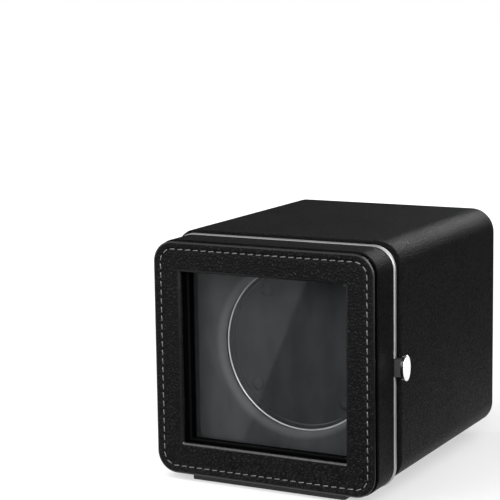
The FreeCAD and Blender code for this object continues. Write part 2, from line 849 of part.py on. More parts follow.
def make_knob():
    """Ribbed knob with a pointer groove, hollow over the switch's nut."""
    front = back_outer + knob_gap
    back = front + knob_height
    knob = rounded_at(rod(jack_offset, jack_z, knob_radius, front, back), back, knob_rib_radius)
    for x, z in on_circle(knob_ribs, knob_radius, jack_z):
        knob = knob.cut(rod(x + jack_offset, z, knob_rib_radius, front - overshoot, back + overshoot))
    hollow = rod(jack_offset, jack_z, knob_radius - knob_wall, front - overshoot, front + knob_recess)
    groove = block(around(jack_offset, pointer_width), (back - pointer_depth, back + overshoot),
                   (jack_z, jack_z + knob_radius))
    knob = knob.cut(hollow).cut(groove)
    shaft_front = switch_bore_front + running_clearance
    shaft = rod(jack_offset, jack_z, switch_shaft_radius, shaft_front, front + knob_recess)
    return knob.fuse(shaft).removeSplitter()


def screw_set(places, seat, kind, into):
    return Part.Compound([screw(place, seat, kind, into) for place in places])


nodes = {
    "case_shell": make_case_shell(),
    "case_leather": make_case_leather(),
    "base_plinth": make_plinth(),
    "plinth_screws": Part.Compound([upright_screw(place) for place in plinth_screw_places()]),
    "front_neck": make_neck(),
    "inner_panel": make_panel(),
    "door_frame": make_door_frame(),
    "door_front_leather": make_front_leather(),
    "door_side_leather": make_side_leather(),
    "door_rim": make_rim(),
    "window_pane": make_pane(),
    "pane_retainer": make_retainer(),
    "hinge_case_leaf": make_leaf((case_front - hinge_leaf, case_front), 0, case_front - hinge_leaf, 1),
    "hinge_door_leaf": make_leaf((rim_back, rim_back + hinge_leaf), 1, rim_back + hinge_leaf, -1),
    "hinge_pin": make_hinge_pin(),
    "hinge_case_screws": screw_set(hinge_screw_places(), case_front - hinge_leaf, small_screw, 1),
    "hinge_door_screws": screw_set(hinge_screw_places(), rim_back + hinge_leaf, small_screw, -1),
    "latch_stem": make_stem(),
    "latch_button": make_button(),
    "latch_keeper": make_keeper(),
    "latch_bracket": make_bracket(),
    "latch_bracket_screws": screw_set(bracket_screw_places(), face_back + bracket_wall, small_screw, -1),
    "latch_spring": make_spring(),
    "rotor_cup": make_cup(),
    "cup_rim_ring": make_cup_ring(),
    "cup_lining": make_lining(),
    "cup_bumps": make_bumps(),
    "spindle": make_spindle(),
    "spindle_clip": make_clip(),
    "cup_gear": make_cup_gear(),
    "gear_screws": screw_set(gear_screw_places(), gear_back, gear_screw, -1),
    "thrust_washer": make_washer(),
    "motor_pinion": make_pinion(),
    "motor_shaft": make_motor_shaft(),
    "gear_motor": make_gear_motor(),
    "motor_screws": screw_set(motor_screw_places(), plate_front, machine_screw, 1),
    "spindle_bush": make_bush(),
    "drive_plate": make_plate(),
    "drive_pillars": make_pillars(),
    "plate_screws": screw_set(pillar_places(), plate_back, machine_screw, -1),
    "back_blocks": make_back_blocks(),
    "back_board": make_back_board(),
    "back_screws": screw_set(back_screw_places(), back_outer, board_screw, -1),
    "control_board": make_control_board(),
    "board_components": make_board_components(),
    "board_standoffs": make_standoffs(),
    "board_screws": screw_set(board_screw_places(), board_front, gear_screw, 1),
    "power_jack": make_jack(),
    "jack_nut": make_jack_nut(),
    "mode_switch": make_switch(),
    "switch_nut": make_switch_nut(),
    "mode_knob": make_knob(),
}

os.makedirs("parts", exist_ok=True)
for name, shape in nodes.items():
    shape.exportStep("parts/" + name + ".step")
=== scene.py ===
"""Watch winder box: leather, velvet, thread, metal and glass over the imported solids, in metres."""

import collections
import math

import bmesh
import bpy
from mathutils import Matrix, Vector


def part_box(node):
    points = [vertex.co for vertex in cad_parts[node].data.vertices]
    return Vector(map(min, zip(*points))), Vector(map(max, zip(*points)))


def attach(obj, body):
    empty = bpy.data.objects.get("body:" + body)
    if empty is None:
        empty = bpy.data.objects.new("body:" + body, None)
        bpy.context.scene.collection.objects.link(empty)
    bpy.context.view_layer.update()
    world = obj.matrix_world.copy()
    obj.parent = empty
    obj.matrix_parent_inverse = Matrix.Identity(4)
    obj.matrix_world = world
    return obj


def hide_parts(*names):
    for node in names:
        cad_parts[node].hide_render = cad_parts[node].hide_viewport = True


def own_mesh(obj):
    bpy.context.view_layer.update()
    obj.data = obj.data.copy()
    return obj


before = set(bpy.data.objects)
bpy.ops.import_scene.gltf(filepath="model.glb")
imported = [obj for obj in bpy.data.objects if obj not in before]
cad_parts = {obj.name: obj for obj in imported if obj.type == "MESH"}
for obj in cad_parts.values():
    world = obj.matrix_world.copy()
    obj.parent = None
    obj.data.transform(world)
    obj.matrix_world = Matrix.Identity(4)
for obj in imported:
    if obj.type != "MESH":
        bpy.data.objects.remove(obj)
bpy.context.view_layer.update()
MM = 0.001


# Case: a sleeve of painted board wrapped in one sheet of black leather with a close, flat grain.
# The leather is glued down and turned in over both ends, so the board shows only inside the back.
class Shade:
    """A socket in a finish: sums, differences, products and comparisons of it add Math nodes."""

    def __init__(self, tree, socket=None):
        self.tree = tree
        self.socket = socket

    def node(self, kind, settings, sockets, output=0):
        """New node: its settings come first, then the values or links of its sockets."""
        made = self.tree.nodes.new("ShaderNode" + kind)
        for name, value in settings.items():
            setattr(made, name, value)
        for name, value in sockets.items():
            if isinstance(value, Shade):
                self.tree.links.new(value.socket, made.inputs[name])
            else:
                made.inputs[name].default_value = value
        return Shade(self.tree, made.outputs[output])

    def math(self, operation, *values):
        return self.node("Math", {"operation": operation}, dict(enumerate(values)))

    def __add__(self, other):
        return self.math("ADD", self, other)

    def __radd__(self, other):
        return self.math("ADD", other, self)

    def __sub__(self, other):
        return self.math("SUBTRACT", self, other)

    def __rsub__(self, other):
        return self.math("SUBTRACT", other, self)

    def __mul__(self, other):
        return self.math("MULTIPLY", self, other)

    def __rmul__(self, other):
        return self.math("MULTIPLY", other, self)

    def __lt__(self, other):
        return self.math("LESS_THAN", self, other)

    def __gt__(self, other):
        return self.math("GREATER_THAN", self, other)

    def eased(self, low, high):
        """0 below low, 1 above high, and a smooth step between them."""
        spans = {"Value": self, "From Min": low, "From Max": high}
        return self.node("MapRange", {"interpolation_type": "SMOOTHSTEP"}, spans)

    def blend(self, low, high):
        """Colour that goes from low to high as this value goes from 0 to 1."""
        start, end = (tone if isinstance(tone, Shade) else (*tone, 1.0) for tone in (low, high))
        return self.node("Mix", {"data_type": "RGBA"}, {0: self, 6: start, 7: end}, 2)

    def clouds(self, size, detail=2.0):
        """Soft mottling over this place, with patches of about one size."""
        return self.node("TexNoise", {}, {"Vector": self, "Scale": 1 / size, "Detail": detail})

    def stretched(self, factors):
        """This place, with each axis multiplied by its own factor."""
        return self.node("VectorMath", {"operation": "MULTIPLY"}, {0: self, 1: factors})

    def length(self):
        """Distance of this place from the origin."""
        return self.node("VectorMath", {"operation": "LENGTH"}, {0: self}, "Value")

    def axis(self, name):
        """One coordinate of this place."""
        return self.node("SeparateXYZ", {}, {0: self}, name)

    def relief(self, depth, strength=1.0):
        """Surface direction of a relief with this height, from 0 to 1 over one depth."""
        return self.node("Bump", {}, {"Strength": strength, "Distance": depth, "Height": self})


def finish(name, constants, pattern):
    """Material: constants sit on the surface shader's own sockets, and pattern gives the ones that vary."""
    material = bpy.data.materials.new(name)
    material.use_nodes = True
    tree = material.node_tree
    surface = tree.nodes["Principled BSDF"]
    for socket, value in constants.items():
        surface.inputs[socket].default_value = value
    place = Shade(tree).node("TexCoord", {}, {}, "Object")
    for socket, value in pattern(place).items():
        tree.links.new(value.socket, surface.inputs[socket])
    return material


def dress(material, *names):
    """Give solids of the frame their finish."""
    for name in names:
        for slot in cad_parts[name].material_slots:
            slot.material = material


def shaded(tone, share):
    """Colour multiplied by one share."""
    return [share * part for part in tone]


def leather(name, tone, pebble, depth, dullness, gloss, swell):
    """Leather embossed with rounded pebbles of one size, duller in the creases between them and darkened
    there as painted shade.
    """
    crease_width = 0.02
    crease_shade_share = 0.1

    def pattern(place):
        wander = {"Vector": place, "Scale": 0.6 / pebble, "Detail": 2.0}
        drift = place.node("TexNoise", {}, wander, "Color")
        bent = place.node("VectorMath", {"operation": "MULTIPLY_ADD"}, {0: drift, 1: [pebble] * 3, 2: place})
        cells = {"Vector": bent, "Scale": 1 / pebble}
        crown = place.node("TexVoronoi", {"feature": "DISTANCE_TO_EDGE"}, cells).eased(crease_width, swell)
        pores = place.clouds(pebble / 5)
        patches = place.clouds(24 * pebble)
        # Crown is low in the creases, so the base colour carries painted shade there on top of the pore and
        # patch tone.
        grain_and_crease_shade = 0.55 * crown + 0.3 * pores + 0.15 * patches
        return {
            "Base Color": grain_and_crease_shade.blend(shaded(tone, crease_shade_share), tone),
            "Roughness": dullness - 0.12 * crown + 0.1 * patches,
            "Normal": (0.75 * crown + 0.25 * pores).relief(depth),
        }

    return finish(name, {"Specular IOR Level": gloss}, pattern)


def painted_board(name, tone, gloss=0.08):
    """Fibreboard under a thin flat paint that still shows the fibres."""
    fibre_width = 0.5 * MM
    fibre_relief = 0.05 * MM
    patch_size = 15 * MM

    def pattern(place):
        fibres = place.stretched((1.0, 0.25, 1.0)).clouds(fibre_width, 4.0)
        patches = place.clouds(patch_size)
        return {
            "Base Color": (0.5 * fibres + 0.5 * patches).blend(shaded(tone, 0.6), tone),
            "Roughness": 0.62 + 0.2 * fibres,
            "Normal": fibres.relief(fibre_relief, 0.5),
        }

    return finish(name, {"Specular IOR Level": gloss}, pattern)


fine_grain = {"pebble": 1.3 * MM, "depth": 0.2 * MM, "dullness": 0.43, "gloss": 0.04, "swell": 0.4}
case_leather = leather("case_leather", (0.0155, 0.0155, 0.016), **fine_grain)
black_board = painted_board("black_board", (0.014, 0.014, 0.015))
dress(case_leather, "case_leather")
dress(black_board, "case_shell")


# Plinth: a low black lacquered board screwed up into the case from below, with its screw heads let in.
# Its screws have pan heads with a cross recess, like the others that show on the box.
def lacquer(name, tone, dullness, gloss=0.35):
    """Hard even coat with a faint orange-peel ripple and dust marks in its gloss."""
    ripple_size = 1.2 * MM
    ripple_relief = 0.02 * MM
    dust_size = 4 * MM

    def pattern(place):
        ripple = place.clouds(ripple_size, 1.0)
        dust = place.clouds(dust_size, 5.0)
        return {
            "Base Color": dust.blend(tone, shaded(tone, 1.5)),
            "Roughness": dullness + 0.12 * dust,
            "Normal": ripple.relief(ripple_relief, 0.4),
        }

    return finish(name, {"Specular IOR Level": gloss}, pattern)


def metal(name, tone, dullness, grain=(1.0, 1.0, 1.0), mark=0.4 * MM, plating=1.0):
    """Bare or plated metal with fine marks, drawn out where the grain factors are small.

    A plating under 1 is thin, over white plastic, and partly matt.
    """
    mark_relief = 0.01 * MM
    handling_size = 9 * MM

    def pattern(place):
        marks = place.stretched(grain).clouds(mark, 3.0)
        handling = place.clouds(handling_size, 3.0)
        return {
            "Base Color": handling.blend(shaded(tone, 0.88), tone),
            "Roughness": dullness + 0.12 * marks + 0.08 * handling,
            "Normal": marks.relief(mark_relief, 0.25),
        }

    return finish(name, {"Metallic": plating}, pattern)


def placed(name, mesh, *materials):
    """Object made of a finished mesh, with its finishes."""
    data = bpy.data.meshes.new(name)
    mesh.to_mesh(data)
    mesh.free()
    for material in materials:
        data.materials.append(material)
    made = bpy.data.objects.new(name, data)
    bpy.context.scene.collection.objects.link(made)
    return made


def piece(name, mesh, body, *materials):
    """Smooth piece of the box, facing outwards, that moves with a body."""
    bmesh.ops.recalc_face_normals(mesh, faces=mesh.faces)
    for face in mesh.faces:
        face.smooth = True
    made = placed(name, mesh, *materials)
    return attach(made, body)


def cross_screw(mesh, seat, out, kind):
    """Pan head screw with a cross recess, standing out of its seat along one direction."""
    cells = 5
    recess_half = 0.55 * kind.head
    recess_depth = 0.6 * kind.height
    bar_half = recess_half / cells
    radius = 0.8 * kind.head
    crown_level = 0.97 * kind.height
    profile = [(0.95 * kind.head, 0.8 * kind.height), (kind.head, 0.5 * kind.height), (kind.head, 0)]
    profile += [(kind.shank, 0), (kind.shank, -kind.length)]

    grid = bmesh.ops.create_grid(mesh, x_segments=cells, y_segments=cells, size=recess_half)["verts"]
    bmesh.ops.translate(mesh, vec=(0, 0, kind.height), verts=grid)
    cross = []
    for face in dict.fromkeys(face for vert in grid for face in vert.link_faces):
        x, y, _ = map(abs, face.calc_center_median())
        if min(x, y) < bar_half and max(x, y) < 3 * bar_half:
            cross.append(face)
    grid_edges = dict.fromkeys(edge for vert in grid for edge in vert.link_edges)
    rim = [edge for edge in grid_edges if edge.is_boundary]
    sunk = bmesh.ops.extrude_face_region(mesh, geom=cross)["geom"]
    floor = [item for item in sunk if isinstance(item, bmesh.types.BMVert)]
    bmesh.ops.translate(mesh, vec=(0, 0, -recess_depth), verts=floor)
    bmesh.ops.delete(mesh, geom=cross, context="FACES_ONLY")

    ring = bmesh.ops.create_circle(mesh, segments=4 * cells, radius=radius)["verts"]
    bmesh.ops.translate(mesh, vec=(0, 0, crown_level), verts=ring)
    edges = list(dict.fromkeys(edge for vert in ring for edge in vert.link_edges))
    bmesh.ops.bridge_loops(mesh, edges=rim + edges)
    verts = grid + floor + ring
    for next_radius, level in profile:
        grown = bmesh.ops.extrude_edge_only(mesh, edges=edges)["geom"]
        edges = [item for item in grown if isinstance(item, bmesh.types.BMEdge)]
        ring = [item for item in grown if isinstance(item, bmesh.types.BMVert)]
        scale = next_radius / radius
        bmesh.ops.scale(mesh, vec=(scale, scale, 1), verts=ring)
        bmesh.ops.translate(mesh, vec=(0, 0, level - ring[0].co.z), verts=ring)
        verts += ring
        radius = next_radius
    bmesh.ops.contextual_create(mesh, geom=edges)
    turn = Vector(out).to_track_quat("Z", "Y").to_matrix().to_4x4()
    bmesh.ops.transform(mesh, matrix=Matrix.Translation(seat) @ turn, verts=verts)


def screws(node, seats, out, kind, body):
    """Set of cross-recess screws that stands for one node of plain ones."""
    mesh = bmesh.new()
    for seat in seats:
        cross_screw(mesh, seat, out, kind)
    made = piece(node + "_crossed", mesh, body, screw_zinc)
    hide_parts(node)


def spread(low, high, inset, count):
    """Evenly spaced places from one end of a range to the other, set in from both."""
    step = (high - low - 2 * inset) / (count - 1)
    return [low + inset + step * index for index in range(count)]


plinth_lacquer = lacquer("plinth_lacquer", (0.008, 0.008, 0.009), 0.42)
screw_zinc = metal("screw_zinc", (0.36, 0.36, 0.38), 0.3)
dress(plinth_lacquer, "base_plinth")
Screw = collections.namedtuple("Screw", "head height shank length")
board_screw = Screw(2.4 * MM, 1.4 * MM, 1.2 * MM, 5.4 * MM)
screw_low, screw_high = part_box("plinth_screws")
plinth_seats = [
    (x, y, screw_low.z + board_screw.height)
    for x in spread(screw_low.x, screw_high.x, board_screw.head, 2)
    for y in spread(screw_low.y, screw_high.y, board_screw.head, 2)
]
screws("plinth_screws", plinth_seats, (0, 0, -1), board_screw, "case")


# Neck and inner panel: a moulded black ring that lines the case mouth, and behind it a board. Both are
# flocked with dark grey velvet on the inside, which rolls over softly at the board's round hole.
def plastic(name, tone, dullness, gloss=0.35):
    """Moulded plastic with the fine spark texture of its mould."""
    spark_size = 0.2 * MM
    spark_relief = 0.02 * MM
    flow_size = 12 * MM

    def pattern(place):
        spark = place.clouds(spark_size, 1.0)
        flow = place.clouds(flow_size)
        return {
            "Base Color": flow.blend(shaded(tone, 0.85), tone),
            "Roughness": dullness + 0.12 * spark,
            "Normal": spark.relief(spark_relief, 0.5),
        }

    return finish(name, {"Specular IOR Level": gloss}, pattern)


def velvet(name, tone, sheen=0.3, highlight_share=None, highlight_tone=None):
    """Short pile with a soft sheen, lighter where the nap is brushed one way.

    Where highlight_share gives a share for each place, a painted highlight there blends in the highlight
    tone.
    """
    nap_size = 11 * MM
    pile_relief = 0.12 * MM

    def pattern(place):
        nap = place.stretched((1.0, 1.0, 0.45)).clouds(nap_size, 5.0).eased(0.25, 0.75)
        pile = place.clouds(pile_size)
        brushed = (0.7 * nap + 0.3 * pile).blend(shaded(tone, 0.62), tone)
        return {
            "Base Color": highlight_share(place).blend(brushed, highlight_tone) if highlight_share else brushed,
            "Roughness": 0.8 + 0.2 * pile,
            "Normal": pile.relief(pile_relief, 0.6),
        }

    soft = {"Specular IOR Level": 0.02, "Sheen Weight": sheen, "Sheen Roughness": 0.4}
    return finish(name, soft, pattern)


def flocked_inside(name, tone, flock, low, high):
    """Matt moulding, flocked where it lies between two corners as seen from the front."""
    flock_relief = 0.1 * MM

    def pattern(place):
        pile = place.clouds(pile_size)
        x, z = place.axis("X"), place.axis("Z")
        inside = (x > low.x) * (x < high.x) * (z > low.z) * (z < high.z)
        return {
            "Base Color": (inside * (0.5 + 0.5 * pile)).blend(tone, flock),
            "Roughness": 0.75 + 0.2 * pile,
            "Normal": pile.relief(flock_relief, 0.5),
        }

    return finish(name, {"Specular IOR Level": 0.02}, pattern)


def quarter_round(radius, steps):
    """Set-ins and depths over an edge that turns from its side to its face."""
    turns = [0.5 * math.pi * step / steps for step in range(steps + 1)]
    return [(radius * (1 - math.cos(turn)), radius * (1 - math.sin(turn))) for turn in turns]


def turned(mesh, profile, centre, steps=120):
    """Ring spun from a closed outline of radii and depths about an axis that runs from front to back."""
    verts = [mesh.verts.new((radius, depth, centre.z)) for radius, depth in profile]
    edges = [mesh.edges.new(pair) for pair in zip(verts, verts[1:] + verts[:1])]
    bmesh.ops.spin(
        mesh, geom=verts + edges, cent=(0, 0, centre.z), axis=(0, 1, 0), angle=2 * math.pi, steps=steps,
        use_merge=True
    )


pile_size = 0.3 * MM
# The board's velvet is painted lighter than the dish's, as painted light against the shade near its edges;
# the neck's flock and the lip share it.
lit_panel_tone = (0.08, 0.08, 0.0825)
panel_velvet = velvet("panel_velvet", lit_panel_tone)
dress(panel_velvet, "inner_panel")
panel_low, panel_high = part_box("inner_panel")
neck_tone = (0.003, 0.003, 0.003)
neck_wall = Vector((1.2, 0.0, 1.2)) * MM
flocked_neck = flocked_inside(
    "flocked_neck", neck_tone, lit_panel_tone, panel_low + neck_wall, panel_high - neck_wall
)
dress(flocked_neck, "front_neck")

lip_inner = 46.3 * MM
lip_round = 7.0 * MM
lip_flange = 3.0 * MM
lip_taper = 0.5 * MM
lip_proud = 0.03 * MM
lip_sunk = 0.05 * MM
lip_back_gap = 0.4 * MM
lip_highlight_width = 0.6 * lip_round
lip_outer = lip_inner + lip_round + lip_flange
lip_depth = panel_high.y - panel_low.y - lip_back_gap
cup_low, cup_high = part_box("rotor_cup")
cup_centre = (cup_low + cup_high) / 2


def towards_hole(place):
    """Share of the lip's painted highlight: 1 at the hole and 0 where the panel is flat."""
    spoke = place.node("VectorMath", {"operation": "SUBTRACT"}, {0: place, 1: cup_centre})
    return 1.0 - spoke.stretched((1.0, 0.0, 1.0)).length().eased(lip_inner, lip_inner + lip_highlight_width)


# The lip's pile is painted paler towards the hole as a painted highlight.
lip_velvet = velvet("lip_velvet", lit_panel_tone, highlight_share=towards_hole, highlight_tone=(0.17, 0.17, 0.175))
lip_profile = [
    (lip_inner + inset, panel_low.y - lip_proud + lip_depth * depth / lip_round)
    for inset, depth in quarter_round(lip_round, 10)
]
lip_profile += [(lip_outer - lip_taper, panel_low.y + lip_sunk)]
lip_profile += [(lip_outer, panel_low.y + depth) for depth in (1.2 * lip_sunk, lip_depth)]
mesh = bmesh.new()
turned(mesh, lip_profile, cup_centre)
hole_lip = piece("panel_hole_lip", mesh, "case", lip_velvet)


# Drive: a gear motor under the spindle turns the cup through a pair of moulded gears, all carried by a
# plate on four pillars behind the panel. The spindle runs in a bronze bush and is held by a snap ring.
gear_plastic = plastic("gear_plastic", (0.72, 0.71, 0.66), 0.45)
plate_plastic = plastic("plate_plastic", (0.03, 0.03, 0.032), 0.5)
turned_steel = metal("turned_steel", (0.55, 0.55, 0.56), 0.22, (1.0, 0.1, 1.0))
bush_bronze = metal("bush_bronze", (0.5, 0.33, 0.17), 0.4)
motor_can = metal("motor_can", (0.5, 0.5, 0.49), 0.3, (1.0, 0.15, 1.0))
dress(gear_plastic, "cup_gear", "motor_pinion", "thrust_washer")
dress(plate_plastic, "drive_plate", "drive_pillars")
dress(turned_steel, "spindle", "spindle_clip", "motor_shaft")
dress(bush_bronze, "spindle_bush")
dress(motor_can, "gear_motor")
dress(screw_zinc, "gear_screws", "motor_screws", "plate_screws")


# Cup: a shallow moulded dish lined with velvet, with a silver-plated ring clipped over its mouth and four
# low domes of flocked rubber on its floor. The ring's flange, inside its bead, is flocked like the dish.
cup_plastic = plastic("cup_plastic", (0.01, 0.01, 0.01), 0.5)
cup_velvet = velvet("cup_velvet", (0.056, 0.056, 0.058))
ring_silver = metal("ring_silver", (0.9, 0.9, 0.91), 0.3, plating=0.5)
dome_flock = velvet("dome_flock", (0.062, 0.062, 0.064), 0.0)
dress(cup_plastic, "rotor_cup")
dress(cup_velvet, "cup_lining")
dress(dome_flock, "cup_bumps")

ring_low, ring_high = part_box("cup_rim_ring")
ring_outer = ring_high.x
ring_bead = 0.5 * MM
ring_bead_inset = 0.1 * MM
ring_bead_steps = 12
ring_back = ring_high.y - 0.02 * MM
flange_inner = ring_outer - 2.8 * MM
flange_front = ring_high.y - 0.3 * MM
bead_middle = ring_outer - ring_bead_inset - ring_bead
ring_profile = [
    (bead_middle - ring_bead * math.cos(turn), ring_low.y + ring_bead - ring_bead * math.sin(turn))
    for turn in (math.pi * step / ring_bead_steps for step in range(ring_bead_steps + 1))
]
ring_profile += [(bead_middle + ring_bead, ring_back)]
ring_profile += [(flange_inner, ring_back), (flange_inner, flange_front)]
mesh = bmesh.new()
turned(mesh, ring_profile, cup_centre)
for face in mesh.faces:
    place = face.calc_center_median()
    if math.hypot(place.x, place.z - cup_centre.z) < bead_middle - ring_bead:
        face.material_index = 1
mouth_ring = piece("cup_mouth_ring", mesh, "cup", ring_silver, cup_velvet)
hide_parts("cup_rim_ring")


# Back: a painted board screwed to four corner blocks, with the power inlet, the mode knob and, on its
# inside, the control board on standoffs.
def pointer_knob(name, tone, paint, axis, face):
    """Moulded knob whose pointer groove, above its axis and below its face, is filled with paint."""
    groove_half = 0.62 * MM
    groove_depth = 0.7 * MM
    paint_depth = 0.1 * MM
    spark_size = 0.2 * MM
    spark_relief = 0.02 * MM

    def pattern(place):
        spark = place.clouds(spark_size, 1.0)
        side = place.math("ABSOLUTE", place.axis("X") - axis.x)
        depth = place.axis("Y")
        inside = (side < groove_half) * (place.axis("Z") > axis.z)
        groove = inside * (depth > face - groove_depth) * (depth < face - paint_depth)
        return {
            "Base Color": groove.blend(tone, paint),
            "Roughness": 0.42 + 0.12 * spark,
            "Normal": spark.relief(spark_relief, 0.5),
        }

    return finish(name, {"Specular IOR Level": 0.35}, pattern)


block_wood = painted_board("block_wood", (0.42, 0.29, 0.17))
circuit_board = lacquer("circuit_board", (0.012, 0.075, 0.03), 0.35)
component_black = plastic("component_black", (0.012, 0.012, 0.013), 0.45)
fitting_black = plastic("fitting_black", (0.014, 0.014, 0.015), 0.42)
nut_nickel = metal("nut_nickel", (0.62, 0.6, 0.56), 0.2)
standoff_nylon = plastic("standoff_nylon", (0.7, 0.69, 0.64), 0.5)
knob_low, knob_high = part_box("mode_knob")
knob_axis = (knob_low + knob_high) / 2
knob_black = pointer_knob("knob_black", (0.012, 0.012, 0.013), (0.7, 0.7, 0.68), knob_axis, knob_high.y)
dress(black_board, "back_board")
dress(block_wood, "back_blocks")
dress(circuit_board, "control_board")
dress(component_black, "board_components", "mode_switch")
dress(standoff_nylon, "board_standoffs")
dress(fitting_black, "power_jack")
dress(nut_nickel, "jack_nut", "switch_nut")
dress(knob_black, "mode_knob")
dress(screw_zinc, "board_screws")

back_screw = board_screw._replace(length=9.0 * MM)
screw_low, screw_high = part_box("back_screws")
back_seats = [
    (x, screw_high.y - back_screw.height, z)
    for x in spread(screw_low.x, screw_high.x, back_screw.head, 2)
    for z in spread(screw_low.z, screw_high.z, back_screw.head, 2)
]
screws("back_screws", back_seats, (0, 1, 0), back_screw, "case")


# Door tray and its band: boards glued into a tray and painted dead black, darker than the case's board as
# painted shade in the window's jamb, the window cut through its face, and a strip of the case's leather
# wrapped round its sides.
# The band is the case's leather painted a little darker, as painted shade.
band_leather_shaded = leather("band_leather_shaded", (0.012, 0.012, 0.0125), **fine_grain)
# The tray is painted far darker than the case's board, as painted shade in the window's jamb.
tray_black_shade = painted_board("tray_black_shade", (0.0015, 0.0015, 0.0015), 0.0)
dress(band_leather_shaded, "door_side_leather")
dress(tray_black_shade, "door_frame")


# Door front: a thicker panel of pebbled leather, padded a little, rolled over at its outer edge and into
# the window, where the upward faces of its sill are painted paler as a painted highlight, and pulled down
# along the line of its stitches.
def rounded_loop(mesh, half, grown, corner, middle, depth):
    """Closed loop of edges round an upright rectangle with rounded corners, in millimetres.

    The rectangle's half width and half height are both grown by one length.
    """
    signs = ((-1, -1), (1, -1), (1, 1), (-1, 1))
    width, height = (size + grown for size in half)
    verts = [mesh.verts.new(Vector((x * width, depth, middle + z * height)) / MM) for x, z in signs]
    mesh.faces.new(verts)
    rounded = bmesh.ops.bevel(
        mesh, geom=verts, offset=corner / MM, affect="VERTICES", segments=12, profile=0.5, material=-1
    )["verts"]
    face = rounded[0].link_faces[0]
    edges = list(face.edges)
    bmesh.ops.delete(mesh, geom=[face], context="FACES_ONLY")
    return edges


def lofted(mesh, loops):
    """Skin from each loop to the next and from the last back to the first, then brought to metres."""
    strips = []
    for first, second in zip(loops, loops[1:] + loops[:1]):
        strips.append(bmesh.ops.bridge_loops(mesh, edges=first + second)["faces"])
    bmesh.ops.scale(mesh, vec=(MM, MM, MM), verts=mesh.verts)
    return strips


front_low, front_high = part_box("door_front_leather")
panel_inset = 0.5 * MM
panel_half = [side / 2 - panel_inset for side in (front_high - front_low).xz]
panel_middle = (front_high.z + front_low.z) / 2
panel_corner = 11.5 * MM
panel_back = front_high.y - front_low.y
pad_rise = 0.08 * MM
edge_roll = 0.55 * MM
edge_undercut = 0.9 * MM
lead_near = 0.4 * MM
lead_far = 0.9 * MM
seam_inset = 4.2 * MM
seam_half = 0.75 * MM
seam_floor_half = 0.3 * MM
seam_depth = 0.42 * MM
face_dip = 0.02 * MM

pane_low, pane_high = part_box("window_pane")
pane_lap = 2.8 * MM
window_half = [side / 2 - pane_lap for side in (pane_high - pane_low).xz]
window_middle = (pane_high.z + pane_low.z) / 2
window_corner = 0.5 * MM
window_roll = 1.0 * MM
window_dip = 0.05 * MM
roll_steps = 6
sill_tilt = 0.3

edge_wall = [(edge_undercut, panel_back), (edge_undercut, 2 * edge_roll)]
edge_bend = [(0.4 * edge_roll, 1.6 * edge_roll)]
edge_bend += [(inset, depth + pad_rise) for inset, depth in quarter_round(edge_roll, roll_steps)]
face_profile = [(edge_roll + lead_near, 0.5 * pad_rise), (0.6 * seam_inset, 0.0)]
face_profile += [(seam_inset - seam_half, pad_rise), (seam_inset - seam_floor_half, seam_depth)]
face_profile += [(seam_inset + seam_floor_half, seam_depth + face_dip), (seam_inset + seam_half, pad_rise)]
face_profile += [(1.4 * seam_inset, face_dip), (1.6 * seam_inset, 0.0)]
front_profile = edge_wall + edge_bend + face_profile
window_lead = [(window_roll + lead_far, 0.5 * face_dip), (window_roll + lead_near, face_dip)]
window_bend = [(outset, depth + window_dip) for outset, depth in quarter_round(window_roll, roll_steps)[::-1]]
window_wall = [(0.0, panel_back - window_dip)]

mesh = bmesh.new()
loops = [
    rounded_loop(mesh, panel_half, -inset, panel_corner - inset, panel_middle, front_low.y + depth)
    for inset, depth in front_profile
]
loops += [
    rounded_loop(mesh, window_half, outset, window_corner + outset, window_middle, front_low.y + depth)
    for outset, depth in window_lead + window_bend + window_wall
]
strips = lofted(mesh, loops)
bmesh.ops.recalc_face_normals(mesh, faces=mesh.faces)
edge_start = len(edge_wall)
window_start = len(front_profile) + len(window_lead) - 1
rolls = strips[edge_start:edge_start + len(edge_bend)] + strips[window_start:window_start + len(window_bend)]
# Upward faces of the window's lower roll take the sill's painted highlight.
for face in (face for strip in rolls for face in strip):
    sill = face.normal.z > sill_tilt and face.calc_center_median().z < window_middle
    face.material_index = 2 if sill else 1
coarse_grain = {"pebble": 1.8 * MM, "depth": 0.45 * MM, "dullness": 0.34, "gloss": 0.08, "swell": 0.45}
front_leather = leather("front_leather", (0.0135, 0.0135, 0.014), **coarse_grain)
rolled_edge = lacquer("rolled_edge", (0.004, 0.004, 0.0045), 0.16, 0.6)
sill_painted_highlight = lacquer("sill_painted_highlight", (0.05, 0.05, 0.0515), 0.22, 0.6)
door_front = piece("door_front_panel", mesh, "door", front_leather, rolled_edge, sill_painted_highlight)
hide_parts("door_front_leather")


# Stitching: one run of thick light grey thread round the door front, each stitch dipping into the leather
# at both ends and lying a little aslant in the seam.
def seam_place(distance, half, corner):
    """Place and heading on a rounded rectangle about the origin, so far along it from its first side."""
    inner = (half[0] - corner, half[1] - corner)
    arc = 0.5 * math.pi * corner
    for quarter in range(4):
        straight = 2 * inner[quarter % 2]
        turn = 0.5 * math.pi * quarter
        if distance < straight + arc or quarter == 3:
            break
        distance -= straight + arc
    along = (math.cos(turn), math.sin(turn))
    centre = (inner[0] * (along[0] + along[1]), inner[1] * (along[1] - along[0]))
    heading = turn + max(0.0, distance - straight) / corner
    back = max(0.0, straight - distance)
    x = centre[0] + corner * math.sin(heading) - back * along[0]
    z = centre[1] - corner * math.cos(heading) - back * along[1]
    return x, z, heading


def spun_thread(name, tone):
    """Thread of twisted plies: slanting ridges, darkened in the hollows as painted shade."""
    plies_per_metre = 900.0
    ply_relief = 0.05 * MM
    fluff_size = 0.3 * MM

    def pattern(place):
        slant = {"Vector": place, "Scale": plies_per_metre}
        plies = place.node("TexWave", {"bands_direction": "DIAGONAL"}, slant)
        fluff = place.clouds(fluff_size)
        return {
            "Base Color": (0.6 * plies + 0.4 * fluff).blend(shaded(tone, 0.45), tone),
            "Roughness": 0.26 + 0.2 * fluff,
            "Normal": plies.relief(ply_relief, 0.5),
        }

    return finish(name, {"Specular IOR Level": 1.0}, pattern)


